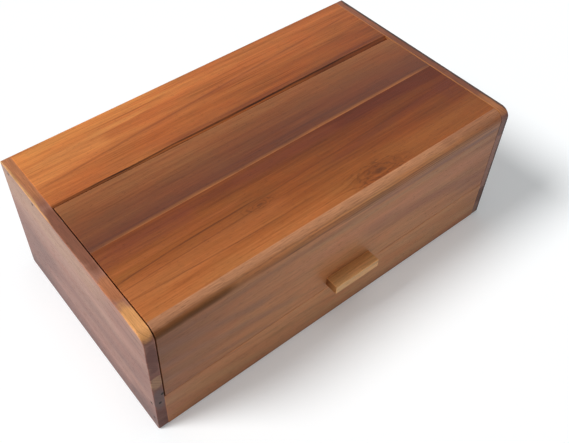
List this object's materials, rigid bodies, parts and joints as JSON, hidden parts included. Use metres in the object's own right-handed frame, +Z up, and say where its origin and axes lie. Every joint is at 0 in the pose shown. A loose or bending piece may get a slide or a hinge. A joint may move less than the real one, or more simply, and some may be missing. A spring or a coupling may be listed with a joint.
{
  "type": "bread box with flip-up lid",
  "caption": "Low rectangular wooden bread box whose top and front lift together as one hinged lid, with a small bar handle low on the front.",
  "frame": {"origin": "centre of the box's footprint, on the surface it stands on; the handle, which stands proud of the front, is left out of that centre", "axes": "+X to the right along the length as seen from the front, +Y towards the back, +Z up"},
  "size_m": [0.4, 0.2415, 0.14],
  "materials": {
    "acacia_side": "acacia heartwood, sanded and oiled to a satin sheen",
    "acacia_orange": "orange-brown acacia, sanded and oiled to a satin sheen",
    "acacia_brown": "mid-brown acacia, sanded and oiled to a satin sheen",
    "acacia_dark": "dark olive-brown acacia, sanded and oiled to a satin sheen",
    "acacia_red": "reddish-brown acacia with knots, sanded and oiled to a satin sheen",
    "acacia_front": "mid-brown acacia, sanded and oiled to a satin sheen",
    "acacia_handle": "light brown acacia, sanded and oiled",
    "dowel_wood": "pale hardwood dowel, unfinished",
    "brad_steel": "dull dark steel wire",
    "screw_steel": "zinc plated",
    "pin_steel": "ground bright steel"
  },
  "bodies": {
    "box": {"left_side_panel": "acacia_side", "right_side_panel": "acacia_side", "rear_top_board": "acacia_orange", "back_lower_board": "acacia_brown", "back_upper_board": "acacia_orange", "bottom_front_board": "acacia_brown", "bottom_middle_board": "acacia_orange", "bottom_rear_board": "acacia_brown", "front_rail": "acacia_front", "top_board_brads_left": "brad_steel", "top_board_brads_right": "brad_steel", "rail_brads_left": "brad_steel", "rail_brads_right": "brad_steel"},
    "lid": {"lid_rear_board": "acacia_dark", "lid_middle_board": "acacia_red", "lid_front_board": "acacia_front", "lid_corner_dowels": "dowel_wood", "handle": "acacia_handle", "handle_screws": "screw_steel", "pivot_pin_left": "pin_steel", "pivot_pin_right": "pin_steel"}
  },
  "joints": [
    {"name": "lid_hinge", "type": "hinge", "parent": "box", "child": "lid", "pos_m": [0, 0.02325, 0.1345], "axis": [-1, 0, 0], "range_deg": [0, 120]}
  ]
}
